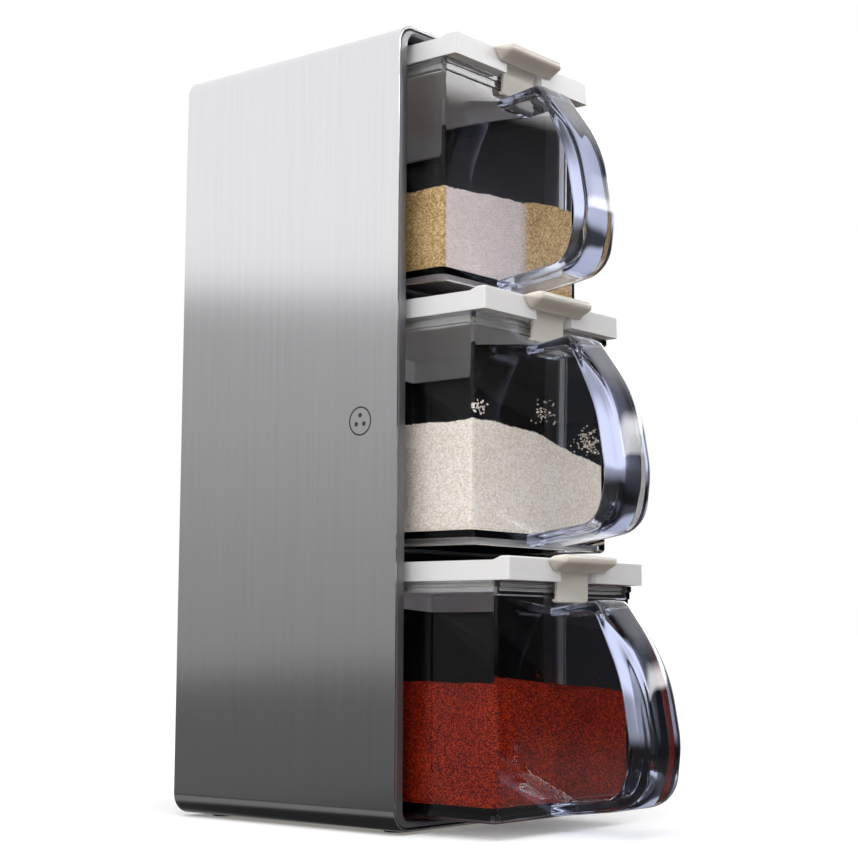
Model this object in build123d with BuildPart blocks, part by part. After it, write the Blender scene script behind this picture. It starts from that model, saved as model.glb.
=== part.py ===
from build123d import *
import os
from dataclasses import dataclass

# Three-tier seasoning rack: a folded steel sleeve with a black plastic lining and two
# shelves, holding three clear boxes with hinged lids, latch levers and D handles.
# Millimetres, +Z up. The open front faces -Y, X = 0 is the symmetry plane, and the
# origin is on the ground under the middle of the sleeve.

os.makedirs("parts", exist_ok=True)

# Driving dimensions of the rack
RACK_W = 108.0
RACK_D = 115.0
SLEEVE_H = 300.0
CORNER_R = 8.0
SHEET = 1.0
FOOT_H = 1.2
FOOT_R = 4.5
RIM_SIDE = 5.8
RIM_TOP = 3.0
RIM_FOOT = 3.4
RIM_DEPTH = 7.0
RIM_LIP = 0.2
LINING_INNER_X = 48.6
SHELF_T = 1.6
PANEL_T = 1.5

# Driving dimensions of one box
BOX_PITCH = 98.34
LOWEST_TUB = 4.8
LID_W = 86.8
LID_L = 106.2
LID_H = 7.26
RIDGE_RISE = 1.35
TUB_W = 85.9
TUB_L = 100.0
TUB_H = 85.35
TUB_SETBACK = 5.74
TUB_R = 1.6
LID_R = 0.9
WALL = 2.2
FLOOR_TOP = 5.5
FLOOR_T = 2.5
HANDLE_W = 19.5
TAB_W = 38.0
LEG_W = 19.8
NOTCH_W = 23.0

# Clearances
SKIN_GAP = 0.1
REST_GAP = 0.3
SEAM = 0.25
PIN_GAP = 0.05
CATCH_PLAY = 1.25

HALF_D = RACK_D / 2
SLEEVE_TOP = FOOT_H + SLEEVE_H
SLEEVE_MID = FOOT_H + SLEEVE_H / 2
LINING_FRONT = -HALF_D + RIM_LIP + RIM_DEPTH + SKIN_GAP
PANEL_FRONT = HALF_D - PANEL_T - 0.3
INSIDE_W = RACK_W - 2 * (SHEET + SKIN_GAP)
INSIDE_H = SLEEVE_H - 2 * (SHEET + SKIN_GAP)
INSIDE_R = CORNER_R - SHEET - SKIN_GAP
SHELF_X = LINING_INNER_X + 1.8
SCREW_X = 50.75
SCREW_Z = (22.0, 152.0, 280.0)
SCREW_R = 1.0
SCREW_HEAD_R = 1.8
SCREW_HEAD_H = 0.8
SCREW_L = 10.0


@dataclass(frozen=True)
class Tier:
    """One box's place: how far its lid stands in front of the sleeve, its floor height
    and the outline of its contents as (x, height above the box's foot) points."""

    name: str
    front: float
    foot: float
    heap: tuple


def tub_foot(level):
    return FOOT_H + LOWEST_TUB + level * BOX_PITCH


TIERS = (
    Tier("top", -76.1, tub_foot(2), ((-40.4, 36.0), (0.0, 37.8), (40.4, 42.0))),
    Tier("middle", -90.1, tub_foot(1), ((-40.4, 45.4), (-4.0, 44.6), (40.4, 34.7))),
    Tier("bottom", -100.9, tub_foot(0), ((-40.4, 48.8), (-12.0, 47.6), (40.4, 45.0))),
)


def finish(part, name):
    """Labels one finished piece and writes it."""
    part.label = name
    export_step(part, f"parts/{name}.step")


# ---------------------------------------------------------------- sleeve and trim
with BuildPart() as sleeve:
    with BuildSketch(Plane.XZ.offset(HALF_D)):
        with Locations((0, SLEEVE_MID)):
            RectangleRounded(RACK_W, SLEEVE_H, CORNER_R)
            RectangleRounded(
                RACK_W - 2 * SHEET, SLEEVE_H - 2 * SHEET, CORNER_R - SHEET, mode=Mode.SUBTRACT
            )
    extrude(amount=-RACK_D)
finish(sleeve.part, "sleeve")

with BuildPart() as front_rim:
    rim_top = SLEEVE_TOP - RIM_TOP
    rim_bottom = FOOT_H + RIM_FOOT
    with BuildSketch(Plane.XZ.offset(HALF_D - RIM_LIP)):
        with Locations((0, SLEEVE_MID)):
            RectangleRounded(
                RACK_W - 2 * (SHEET + SEAM), SLEEVE_H - 2 * (SHEET + SEAM), CORNER_R - SHEET - SEAM
            )
        with Locations((0, (rim_top + rim_bottom) / 2)):
            RectangleRounded(
                RACK_W - 2 * RIM_SIDE, rim_top - rim_bottom, CORNER_R - 3.2, mode=Mode.SUBTRACT
            )
    extrude(amount=-RIM_DEPTH)
    chamfer(front_rim.edges().group_by(Axis.Y)[0], 0.5)
finish(front_rim.part, "front_rim")

# ---------------------------------------------------------------- lining and shelves
RAIL_H = 4.0
RAIL_INNER_X = TUB_W / 2 + 0.75
GROOVE_GAP = 0.1


def shelf_bottom(tier):
    return tier.foot - REST_GAP - SHELF_T


def side_lining(name, side):
    """One side wall of the lining, with shelf grooves, a guide rail per box and screw
    holes in its rear edge."""
    with BuildPart() as lining:
        with BuildSketch(Plane.XZ.offset(-LINING_FRONT)):
            with Locations((0, SLEEVE_MID)):
                RectangleRounded(INSIDE_W, INSIDE_H, INSIDE_R)
            wall_w = INSIDE_W / 2 - LINING_INNER_X
            with Locations((side * (LINING_INNER_X + wall_w / 2), SLEEVE_MID)):
                Rectangle(wall_w, SLEEVE_H, mode=Mode.INTERSECT)
        extrude(amount=LINING_FRONT - PANEL_FRONT)
        rail_w = LINING_INNER_X - RAIL_INNER_X
        rail_l = PANEL_FRONT - LINING_FRONT - 12
        for tier in TIERS:
            with Locations(
                (
                    side * (RAIL_INNER_X + rail_w / 2),
                    (PANEL_FRONT + LINING_FRONT) / 2,
                    tier.foot + RAIL_H / 2 + 6,
                )
            ):
                Box(rail_w, rail_l, RAIL_H)
        for tier in TIERS[:2]:
            with Locations(
                (
                    side * (LINING_INNER_X + 0.95),
                    (PANEL_FRONT + LINING_FRONT) / 2,
                    shelf_bottom(tier) + SHELF_T / 2,
                )
            ):
                Box(1.9, RACK_D, SHELF_T + 2 * GROOVE_GAP, mode=Mode.SUBTRACT)
        for z in SCREW_Z:
            with Locations(Plane(origin=(side * SCREW_X, PANEL_FRONT, z), z_dir=(0, 1, 0))):
                Hole(SCREW_R + PIN_GAP, SCREW_L)
    finish(lining.part, name)


side_lining("left_lining", -1)
side_lining("right_lining", 1)

CEILING_Z = SLEEVE_TOP - RIM_TOP + 0.2
FLOOR_PLATE_TOP = TIERS[2].foot - REST_GAP
PLATE_W = 2 * (LINING_INNER_X - 0.1)
with BuildPart() as ceiling_lining:
    with BuildSketch(Plane.XZ.offset(-LINING_FRONT)):
        with Locations((0, SLEEVE_MID)):
            RectangleRounded(INSIDE_W, INSIDE_H, INSIDE_R)
        with Locations((0, CEILING_Z + SLEEVE_H / 2)):
            Rectangle(PLATE_W, SLEEVE_H, mode=Mode.INTERSECT)
    extrude(amount=LINING_FRONT - PANEL_FRONT)
finish(ceiling_lining.part, "ceiling_lining")

with BuildPart() as floor_lining:
    with BuildSketch(Plane.XZ.offset(-LINING_FRONT)):
        with Locations((0, SLEEVE_MID)):
            RectangleRounded(INSIDE_W, INSIDE_H, INSIDE_R)
        with Locations((0, FLOOR_PLATE_TOP - SLEEVE_H / 2)):
            Rectangle(PLATE_W, SLEEVE_H, mode=Mode.INTERSECT)
    extrude(amount=LINING_FRONT - PANEL_FRONT)
finish(floor_lining.part, "floor_lining")


def shelf(name, tier):
    """A shelf that slides into the lining's grooves, with a rolled front edge."""
    with BuildPart() as plate:
        with BuildSketch(Plane.XY.offset(shelf_bottom(tier))):
            with Locations((0, (PANEL_FRONT + LINING_FRONT) / 2)):
                Rectangle(2 * SHELF_X, PANEL_FRONT - LINING_FRONT - 0.2)
        extrude(amount=SHELF_T)
        fillet(plate.edges().filter_by(Axis.X).group_by(Axis.Y)[0], SHELF_T / 2 - 0.1)
    finish(plate.part, name)


shelf("upper_shelf", TIERS[0])
shelf("lower_shelf", TIERS[1])

with BuildPart() as back_panel:
    with BuildSketch(Plane.XZ.offset(-PANEL_FRONT)):
        with Locations((0, SLEEVE_MID)):
            RectangleRounded(INSIDE_W, INSIDE_H, INSIDE_R)
    extrude(amount=-PANEL_T)
    for screw_side in (-1, 1):
        for z in SCREW_Z:
            origin = (screw_side * SCREW_X, PANEL_FRONT + PANEL_T, z)
            with Locations(Plane(origin=origin, z_dir=(0, 1, 0))):
                CounterBoreHole(SCREW_R + PIN_GAP, SCREW_HEAD_R + PIN_GAP, SCREW_HEAD_H, PANEL_T)
finish(back_panel.part, "back_panel")

with BuildPart() as back_screws:
    head_plane = Plane(origin=(0, PANEL_FRONT + PANEL_T, 0), x_dir=(1, 0, 0), z_dir=(0, -1, 0))
    screw_places = [(side * SCREW_X, z) for side in (-1, 1) for z in SCREW_Z]
    with BuildSketch(head_plane):
        with Locations(*screw_places):
            Circle(SCREW_HEAD_R)
    extrude(amount=SCREW_HEAD_H)
    with BuildSketch(head_plane.offset(SCREW_HEAD_H)):
        with Locations(*screw_places):
            Circle(SCREW_R)
    extrude(amount=SCREW_L - 2 * SCREW_HEAD_H)
    with BuildSketch(head_plane):
        with Locations(*screw_places):
            Rectangle(2.4, 0.5)
            Rectangle(0.5, 2.4)
    extrude(amount=0.45, mode=Mode.SUBTRACT)
finish(back_screws.part, "back_screws")

with BuildPart() as foot_pads:
    with BuildSketch(Plane.XY):
        Circle(FOOT_R)
        with GridLocations(76, 90, 2, 2):
            Circle(FOOT_R)
    extrude(amount=FOOT_H)
    chamfer(foot_pads.edges().group_by(Axis.Z)[0], 0.3)
finish(foot_pads.part, "foot_pads")

# ---------------------------------------------------------------- one box
FLANGE_H = 5.0
FLANGE_STEP = 2.4
FLANGE_OUT = 1.3
HINGE_BACK = 3.0
HINGE_UP = 0.6
KNUCKLE_R = 2.8
HINGE_PIN_R = 1.2
EAR_IN = 12.3
EAR_OUT = 24.0
LATCH_PIN_R = 1.0
LATCH_PIN_HALF = 14.5
PIVOT_BACK = 3.6
PIVOT_UP = 5.2
HUB_R = 1.9
NOTCH_BACK = 6.0
NOSE_L = 7.6
# Corners of the handle's outline: distance in front of the tub, height above its foot
# and the radius that rounds the corner.
HANDLE_OUTSIDE = (
    (0.0, 76.2, 0.0),
    (19.4, 79.2, 3.2),
    (37.4, 55.2, 58.0),
    (42.0, 28.0, 40.0),
    (39.6, 6.4, 13.0),
    (22.0, 3.2, 30.0),
    (0.0, 0.4, 0.0),
)
HANDLE_INSIDE = (
    (0.0, 5.4, 0.0),
    (30.6, 9.2, 9.0),
    (36.2, 24.0, 26.0),
    (31.4, 50.5, 60.0),
    (20.2, 74.2, 5.0),
    (0.0, 72.9, 0.0),
)


def tub(tier):
    """The clear tub: thin walls, a raised floor over a hollow foot, a stepped flange
    around the mouth and two hinge ears behind it."""
    front = tier.front + TUB_SETBACK
    rear = front + TUB_L
    middle = (front + rear) / 2
    mouth = tier.foot + TUB_H - SKIN_GAP
    with BuildPart() as body:
        with BuildSketch(Plane.XY.offset(tier.foot)):
            with Locations((0, middle)):
                RectangleRounded(TUB_W, TUB_L, TUB_R)
        extrude(amount=mouth - tier.foot)
        chamfer(body.faces().sort_by(Axis.Z)[0].edges(), 1.3)
        with BuildSketch(Plane.XY.offset(mouth)):
            with Locations((0, middle - FLANGE_OUT / 2)):
                RectangleRounded(TUB_W + 0.8, TUB_L + FLANGE_OUT, TUB_R + 0.2)
        extrude(amount=-FLANGE_STEP)
        with BuildSketch(Plane.XY.offset(mouth - FLANGE_STEP)):
            with Locations((0, middle - FLANGE_OUT / 4)):
                RectangleRounded(TUB_W + 0.4, TUB_L + FLANGE_OUT / 2, TUB_R + 0.1)
        extrude(amount=FLANGE_STEP - FLANGE_H)
        with BuildSketch(Plane.YZ):
            pivot = (rear + HINGE_BACK + 0.46, mouth + SKIN_GAP + HINGE_UP)
            with Locations(pivot):
                Circle(KNUCKLE_R)
            with BuildLine():
                Polyline(
                    (rear - 0.2, mouth - FLANGE_H),
                    (pivot[0], pivot[1] - KNUCKLE_R),
                    pivot,
                    (rear - 0.2, mouth - 0.1),
                    close=True,
                )
            make_face()
        extrude(amount=EAR_OUT, both=True)
        with Locations(((0, rear + 5.4, mouth))):
            Box(2 * EAR_IN, 10, 20, mode=Mode.SUBTRACT)
        with BuildSketch(Plane.XY.offset(mouth)):
            with Locations((0, middle)):
                RectangleRounded(TUB_W - 2 * WALL, TUB_L - 2 * WALL, 1.2)
        extrude(amount=-(mouth - tier.foot - FLOOR_TOP), mode=Mode.SUBTRACT)
        with BuildSketch(Plane.XY.offset(tier.foot)):
            with Locations((0, middle)):
                RectangleRounded(TUB_W - 2 * WALL - 2.4, TUB_L - 2 * WALL - 2.4, 2.0)
        extrude(amount=FLOOR_TOP - FLOOR_T, mode=Mode.SUBTRACT)
        with Locations(Plane(origin=(0, *pivot), z_dir=(1, 0, 0))):
            Cylinder(HINGE_PIN_R + PIN_GAP, 2 * EAR_OUT + 2, mode=Mode.SUBTRACT)
    finish(body.part, f"{tier.name}_tub")


def handle(tier):
    """The clear D handle, bonded to the tub's front: straight runs joined by tangent
    arcs outside and inside the finger gap."""

    def run(corners):
        places = [(tier.front + TUB_SETBACK - out, tier.foot + up) for out, up, _ in corners]
        return FilletPolyline(*places, radius=[radius for _, _, radius in corners[1:-1]])

    with BuildPart() as grip:
        with BuildSketch(Plane.YZ):
            with BuildLine():
                outer = run(HANDLE_OUTSIDE)
                inner = run(HANDLE_INSIDE)
                Line(outer @ 1, inner @ 0)
                Line(inner @ 1, outer @ 0)
            make_face()
        extrude(amount=HANDLE_W / 2, both=True)
        tub_front = tier.front + TUB_SETBACK
        side_edges = grip.faces().filter_by(Plane.YZ).edges()
        chamfer(side_edges.filter_by(lambda edge: edge.center().Y < tub_front - 0.5), 1.2)
    finish(grip.part, f"{tier.name}_handle")


def lid(tier):
    """The white lid: a shallow cap with a raised ridge along its front, a notch for the
    latch, a plug ring that carries the seal, and a hinge knuckle behind."""
    front = tier.front
    rear = front + LID_L
    base = tier.foot + TUB_H
    tub_middle = front + TUB_SETBACK + TUB_L / 2
    plug_w = TUB_W - 2 * WALL - 3.6
    plug_l = TUB_L - 2 * WALL - 3.6
    with BuildPart() as cap:
        with BuildSketch(Plane.XY.offset(base + SKIN_GAP)):
            with Locations((0, (front + rear) / 2)):
                Rectangle(LID_W, LID_L)
        extrude(amount=LID_H - SKIN_GAP)
        with BuildSketch(Plane.YZ):
            with BuildLine():
                Polyline(
                    (front, base + 4),
                    (front, base + LID_H + RIDGE_RISE),
                    (front + 3.4, base + LID_H + RIDGE_RISE),
                    (front + 6.9, base + LID_H),
                    (front + 6.9, base + 4),
                    close=True,
                )
            make_face()
        extrude(amount=LID_W / 2, both=True)
        upright = cap.edges().filter_by(Axis.Z).group_by(Axis.Y)
        fillet(upright[0] + upright[-1], LID_R)
        fillet(cap.edges().filter_by(Axis.X).sort_by(Axis.Z)[-2:], 0.6)
        # hollow underside between the skirt and the nose that carries the latch
        with BuildSketch(Plane.XY.offset(base)):
            with Locations((0, (front + NOSE_L + rear - 2.0) / 2)):
                Rectangle(LID_W - 4.0, LID_L - NOSE_L - 2.0)
        extrude(amount=LID_H - 2.2, mode=Mode.SUBTRACT)
        with BuildSketch(Plane.XY.offset(base + LID_H - 2.2)):
            with Locations((0, tub_middle)):
                RectangleRounded(plug_w, plug_l, 2.0)
                RectangleRounded(plug_w - 3.2, plug_l - 3.2, 1.0, mode=Mode.SUBTRACT)
        extrude(amount=-(LID_H - 2.2) - 4.0)
        with Locations((0, front + NOTCH_BACK / 2 - 0.5, base)):
            Box(NOTCH_W, NOTCH_BACK + 1.0, 40, mode=Mode.SUBTRACT)
        with BuildSketch(Plane.YZ):
            pivot = (rear + HINGE_BACK, base + HINGE_UP)
            with Locations(pivot):
                Circle(KNUCKLE_R)
            with BuildLine():
                Polyline(
                    pivot,
                    (pivot[0], pivot[1] + KNUCKLE_R),
                    (rear - 1.0, base + LID_H - 1.2),
                    (rear - 1.0, base + 0.6),
                    close=True,
                )
            make_face()
        extrude(amount=EAR_IN - 0.4, both=True)
        with Locations(Plane(origin=(0, *pivot), z_dir=(1, 0, 0))):
            Cylinder(HINGE_PIN_R + PIN_GAP, 2 * EAR_OUT, mode=Mode.SUBTRACT)
        latch_pivot = (0, front + PIVOT_BACK, base + PIVOT_UP)
        with Locations(Plane(origin=latch_pivot, z_dir=(1, 0, 0))):
            Cylinder(LATCH_PIN_R + PIN_GAP, 2 * LATCH_PIN_HALF + 0.4, mode=Mode.SUBTRACT)
    finish(cap.part, f"{tier.name}_lid")


def lid_seal(tier):
    """The soft ring around the lid's plug, with two lips."""
    base = tier.foot + TUB_H
    tub_middle = tier.front + TUB_SETBACK + TUB_L / 2
    hole_w = TUB_W - 2 * WALL - 3.6 + 0.04
    hole_l = TUB_L - 2 * WALL - 3.6 + 0.04
    with BuildPart() as ring:
        for z, height, lip in ((-3.6, 0.8, 1.5), (-2.8, 1.0, 1.0), (-1.8, 0.8, 1.5)):
            with BuildSketch(Plane.XY.offset(base + z)):
                with Locations((0, tub_middle)):
                    RectangleRounded(hole_w + 2 * lip, hole_l + 2 * lip, 2.2)
                    RectangleRounded(hole_w, hole_l, 2.0, mode=Mode.SUBTRACT)
            extrude(amount=height)
    finish(ring.part, f"{tier.name}_lid_seal")


def latch(tier):
    """The latch lever: a wide tab with a scooped underside, a hub on the pin and a leg
    whose barb hooks under the tub's flange."""
    front = tier.front
    base = tier.foot + TUB_H
    pivot = (front + PIVOT_BACK, base + PIVOT_UP)
    barb_top = base - SKIN_GAP - FLANGE_H - CATCH_PLAY
    with BuildPart() as lever:
        with BuildSketch(Plane.YZ):
            with BuildLine():
                Line((front - 0.4, base + 4.4), (front - 0.4, base + 9.6))
                Line((front - 0.4, base + 9.6), (front - 5.2, base + 10.0))
                Line((front - 5.2, base + 10.0), (front - 6.0, base + 9.2))
                Line((front - 6.0, base + 9.2), (front - 6.0, base + 8.0))
                ThreePointArc(
                    (front - 6.0, base + 8.0), (front - 2.2, base + 6.7), (front - 0.4, base + 4.4)
                )
            make_face()
        extrude(amount=TAB_W / 2, both=True)
        fillet(lever.edges().filter_by(Axis.Z).group_by(Axis.Y)[0], 2.4)
        with BuildSketch(Plane.YZ):
            with BuildLine():
                Polyline(
                    (front - 1.0, base + 5.6),
                    (front - 1.0, base + 8.6),
                    (front + 3.4, base + 8.2),
                    (front + PIVOT_BACK + HUB_R, pivot[1] + 0.6),
                    (front + 4.1, base + 3.4),
                    (front + 4.1, barb_top),
                    (front + 5.4, barb_top),
                    (front + 5.2, barb_top - 0.55),
                    (front + 3.6, barb_top - 1.25),
                    (front + 2.9, barb_top - 0.85),
                    (front + 2.9, base + 3.4),
                    (front + 1.8, base + 4.2),
                    close=True,
                )
            make_face()
            with Locations(pivot):
                Circle(HUB_R)
                Circle(LATCH_PIN_R + PIN_GAP, mode=Mode.SUBTRACT)
        extrude(amount=LEG_W / 2, both=True)
    finish(lever.part, f"{tier.name}_latch")


def pins(tier):
    """The steel pins of the lid hinge and of the latch."""
    base = tier.foot + TUB_H
    hinge = (0, tier.front + LID_L + HINGE_BACK, base + HINGE_UP)
    with BuildPart() as hinge_pin:
        with Locations(Plane(origin=hinge, z_dir=(1, 0, 0))):
            Cylinder(HINGE_PIN_R, 2 * EAR_OUT - 0.6)
        chamfer(hinge_pin.edges().filter_by(GeomType.CIRCLE), 0.3)
    finish(hinge_pin.part, f"{tier.name}_hinge_pin")
    latch_pivot = (0, tier.front + PIVOT_BACK, base + PIVOT_UP)
    with BuildPart() as latch_pin:
        with Locations(Plane(origin=latch_pivot, z_dir=(1, 0, 0))):
            Cylinder(LATCH_PIN_R, 2 * LATCH_PIN_HALF)
        chamfer(latch_pin.edges().filter_by(GeomType.CIRCLE), 0.25)
    finish(latch_pin.part, f"{tier.name}_latch_pin")


def contents(tier):
    """The seasoning in the tub, level along Y and sloping across X as it lies."""
    rear = tier.front + TUB_SETBACK + TUB_L - WALL - 0.3
    length = TUB_L - 2 * WALL - 0.6
    floor_z = tier.foot + FLOOR_TOP + 0.1
    crest = [(x, tier.foot + height) for x, height in tier.heap]
    with BuildPart() as heap:
        with BuildSketch(Plane.XZ.offset(-rear)):
            with BuildLine():
                Polyline((crest[0][0], floor_z), *crest, (crest[-1][0], floor_z), close=True)
            make_face()
        extrude(amount=length)
        upright = heap.edges().filter_by(Axis.Z)
        fillet(upright, 2.0)
    finish(heap.part, f"{tier.name}_seasoning")


for box_tier in TIERS:
    tub(box_tier)
    handle(box_tier)
    lid(box_tier)
    lid_seal(box_tier)
    latch(box_tier)
    pins(box_tier)
    contents(box_tier)
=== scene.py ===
"""Looks for a three-tier steel seasoning rack with clear pull-out boxes."""

import logging
import math
from collections.abc import Sequence
from dataclasses import dataclass
from enum import Enum

import bmesh
import bpy
import numpy as np
from mathutils import Matrix, Vector


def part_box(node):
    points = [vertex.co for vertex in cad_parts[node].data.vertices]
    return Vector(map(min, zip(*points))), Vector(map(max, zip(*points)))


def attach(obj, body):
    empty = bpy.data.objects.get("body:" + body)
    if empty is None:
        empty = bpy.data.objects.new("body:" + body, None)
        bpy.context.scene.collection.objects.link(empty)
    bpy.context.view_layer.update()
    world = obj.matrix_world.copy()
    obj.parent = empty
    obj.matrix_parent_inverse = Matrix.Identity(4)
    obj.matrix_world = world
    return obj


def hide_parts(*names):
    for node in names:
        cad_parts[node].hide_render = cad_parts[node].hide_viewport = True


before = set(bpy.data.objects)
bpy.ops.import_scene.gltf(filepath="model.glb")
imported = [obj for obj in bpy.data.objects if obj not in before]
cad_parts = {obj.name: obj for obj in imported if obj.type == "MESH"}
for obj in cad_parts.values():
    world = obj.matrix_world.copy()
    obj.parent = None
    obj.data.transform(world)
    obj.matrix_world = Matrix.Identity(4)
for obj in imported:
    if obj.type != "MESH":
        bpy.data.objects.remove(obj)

LOG = logging.getLogger("rack")
MM = 0.001
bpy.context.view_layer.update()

Point2 = tuple[float, float]
Colour = tuple[float, float, float]


class Tier(Enum):
    """The three boxes, from the top down."""

    TOP = "top"
    MIDDLE = "middle"
    BOTTOM = "bottom"


# ---------------------------------------------------------------- mesh helpers
def corner_points(half_w: float, low: float, high: float, radius: float, steps: int = 8) -> list[Point2]:
    """A rounded rectangle, counter-clockwise from the right end of its lower side.

    Args:
        half_w: Half the width along the first axis, which it is centred on.
        low: Lower limit along the second axis.
        high: Upper limit along the second axis.
        radius: Corner radius.
        steps: Segments per corner.

    Returns:
        4 * (steps + 1) points.
    """
    centres = (
        (half_w - radius, low + radius, -90.0),
        (half_w - radius, high - radius, 0.0),
        (-half_w + radius, high - radius, 90.0),
        (-half_w + radius, low + radius, 180.0),
    )
    points = []
    for u, v, start in centres:
        for step in range(steps + 1):
            angle = math.radians(start + 90.0 * step / steps)
            points.append((u + radius * math.cos(angle), v + radius * math.sin(angle)))
    return points


def rounded_run(corners: Sequence[tuple[float, float, float]], spacing: float) -> list[Point2]:
    """Straight runs joined by tangent arcs.

    Args:
        corners: (u, v, radius) corners; the ends have no radius.
        spacing: Rough distance between the points on an arc.

    Returns:
        The points from the first corner to the last.
    """
    points = [Vector(corners[0][:2])]
    for before, corner, after in zip(corners, corners[1:], corners[2:]):
        here = Vector(corner[:2])
        back = (Vector(before[:2]) - here).normalized()
        ahead = (Vector(after[:2]) - here).normalized()
        half = back.angle(ahead) / 2.0
        reach = corner[2] / math.tan(half)
        centre = here + (back + ahead).normalized() * (corner[2] / math.sin(half))
        start = here + back * reach - centre
        turn = math.pi - 2.0 * half
        sign = 1.0 if start.cross(here + ahead * reach - centre) > 0 else -1.0
        count = max(3, int(corner[2] * turn / spacing))
        for step in range(count + 1):
            spun = Matrix.Rotation(sign * turn * step / count, 2) @ start
            points.append(centre + spun)
    points.append(Vector(corners[-1][:2]))
    return [(point.x, point.y) for point in points]


def even_points(run: Sequence[Point2], count: int) -> np.ndarray:
    """Resamples an open run.

    Args:
        run: The points of the run.
        count: How many points are wanted, ends included.

    Returns:
        Evenly spaced points, one row each.
    """
    places = np.array(run)
    lengths = np.concatenate([[0.0], np.cumsum(np.linalg.norm(np.diff(places, axis=0), axis=1))])
    wanted = np.linspace(0.0, lengths[-1], count)
    return np.stack([np.interp(wanted, lengths, places[:, axis]) for axis in (0, 1)], axis=1)


class Skin:
    """Collects the vertices and faces of one piece and turns them into an object."""

    def __init__(self) -> None:
        """Starts an empty skin."""
        self.verts: list[tuple[float, float, float]] = []
        self.faces: list[tuple[int, ...]] = []

    def ring(self, points: Sequence[Sequence[float]]) -> list[int]:
        """Adds one ring of vertices and returns their numbers."""
        first = len(self.verts)
        self.verts.extend(tuple(float(value) for value in point) for point in points)
        return list(range(first, len(self.verts)))

    def bridge(self, lower: Sequence[int], upper: Sequence[int]) -> None:
        """Joins two rings of the same length with quads."""
        count = len(lower)
        for i in range(count):
            j = (i + 1) % count
            self.faces.append((lower[i], lower[j], upper[j], upper[i]))

    def loft(self, rings: Sequence[Sequence[Sequence[float]]], closed: bool = False) -> None:
        """Bridges the rings in order.

        Args:
            rings: Rings of points, all of the same length.
            closed: Whether the last ring joins the first, as on a hoop; otherwise the
                first and last rings are capped.
        """
        numbers = [self.ring(points) for points in rings]
        for lower, upper in zip(numbers, numbers[1:]):
            self.bridge(lower, upper)
        if closed:
            self.bridge(numbers[-1], numbers[0])
        else:
            self.faces.append(tuple(reversed(numbers[0])))
            self.faces.append(tuple(numbers[-1]))

    def prism(self, outline: Sequence[Point2], x0: float, x1: float, bevel: float = 0.0) -> None:
        """Extrudes an outline along X, with its ends drawn in by a small bevel.

        Args:
            outline: (y, z) points.
            x0: Where the prism starts.
            x1: Where it ends.
            bevel: How far the ends are drawn in.
        """
        places = np.array(outline)
        centre = places.mean(axis=0)
        spans = np.linalg.norm(places - centre, axis=1, keepdims=True)
        drawn = centre + (places - centre) * (1.0 - bevel / np.maximum(spans, 1e-9))
        self.loft(
            [
                [(x0, y, z) for y, z in drawn],
                [(x0 + bevel, y, z) for y, z in places],
                [(x1 - bevel, y, z) for y, z in places],
                [(x1, y, z) for y, z in drawn],
            ]
        )

    def build(self, name: str, sharp: float = 40.0) -> bpy.types.Object:
        """Makes the object.

        Args:
            name: The object's name.
            sharp: Edges that turn by more than this many degrees stay sharp.

        Returns:
            The linked object, with outward normals.
        """
        mesh = bpy.data.meshes.new(name)
        mesh.from_pydata(self.verts, [], self.faces)
        work = bmesh.new()
        work.from_mesh(mesh)
        bmesh.ops.recalc_face_normals(work, faces=work.faces)
        work.to_mesh(mesh)
        work.free()
        mesh.shade_smooth()
        mesh.set_sharp_from_angle(angle=math.radians(sharp))
        piece = bpy.data.objects.new(name, mesh)
        bpy.context.scene.collection.objects.link(piece)
        return piece


def stand_in(piece: bpy.types.Object, body: str, slot: str, *nodes: str) -> bpy.types.Object:
    """Makes a piece ride on its body and stand for CAD nodes.

    Args:
        piece: The piece.
        body: The body that carries it.
        slot: Its material slot in the record; not used.
        *nodes: The CAD nodes that it replaces.

    Returns:
        The same piece.
    """
    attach(piece, body)
    if nodes:
        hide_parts(*nodes)
    LOG.info("%s: %d vertices on %s", piece.name, len(piece.data.vertices), body)
    return piece


def dress(node: str, material: bpy.types.Material) -> None:
    """Puts a finish in every material slot of a CAD node."""
    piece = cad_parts[node]
    for slot in piece.material_slots:
        slot.material = material
    LOG.info("%s dressed in %s", node, material.name)


# ---------------------------------------------------------------- node helpers
class Nodes:
    """A small wrapper round one node tree."""

    def __init__(self, tree: bpy.types.NodeTree) -> None:
        """Takes the tree."""
        self.tree = tree

    def node(self, kind: str, inputs: dict | None = None, **settings: object) -> bpy.types.Node:
        """Adds a node.

        Args:
            kind: The node's type name.
            inputs: Socket name or number to a value or to the output that feeds it.
            **settings: Attributes of the node.

        Returns:
            The node.
        """
        made = self.tree.nodes.new(kind)
        for key, value in settings.items():
            setattr(made, key, value)
        for key, value in (inputs or {}).items():
            self.feed(made.inputs[key], value)
        return made

    def feed(self, socket: bpy.types.NodeSocket, value: object) -> None:
        """Links an output to a socket, or sets the socket's own value."""
        if isinstance(value, bpy.types.NodeSocket):
            self.tree.links.new(value, socket)
        else:
            socket.default_value = value

    def math(self, operation: str, *values: object) -> bpy.types.NodeSocket:
        """One Math node, returned as its output."""
        made = self.node("ShaderNodeMath", operation=operation)
        for socket, value in zip(made.inputs, values):
            self.feed(socket, value)
        return made.outputs[0]

    def times(self, *values: object) -> bpy.types.NodeSocket:
        """The product of two fields or numbers."""
        return self.math("MULTIPLY", *values)

    def total(self, first: object, *others: object) -> bpy.types.NodeSocket:
        """The sum of any number of fields or numbers."""
        for other in others:
            first = self.math("ADD", first, other)
        return first

    def axes(self, vector: object) -> Sequence[bpy.types.NodeSocket]:
        """The three parts of a vector."""
        return self.node("ShaderNodeSeparateXYZ", {0: vector}).outputs


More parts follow.
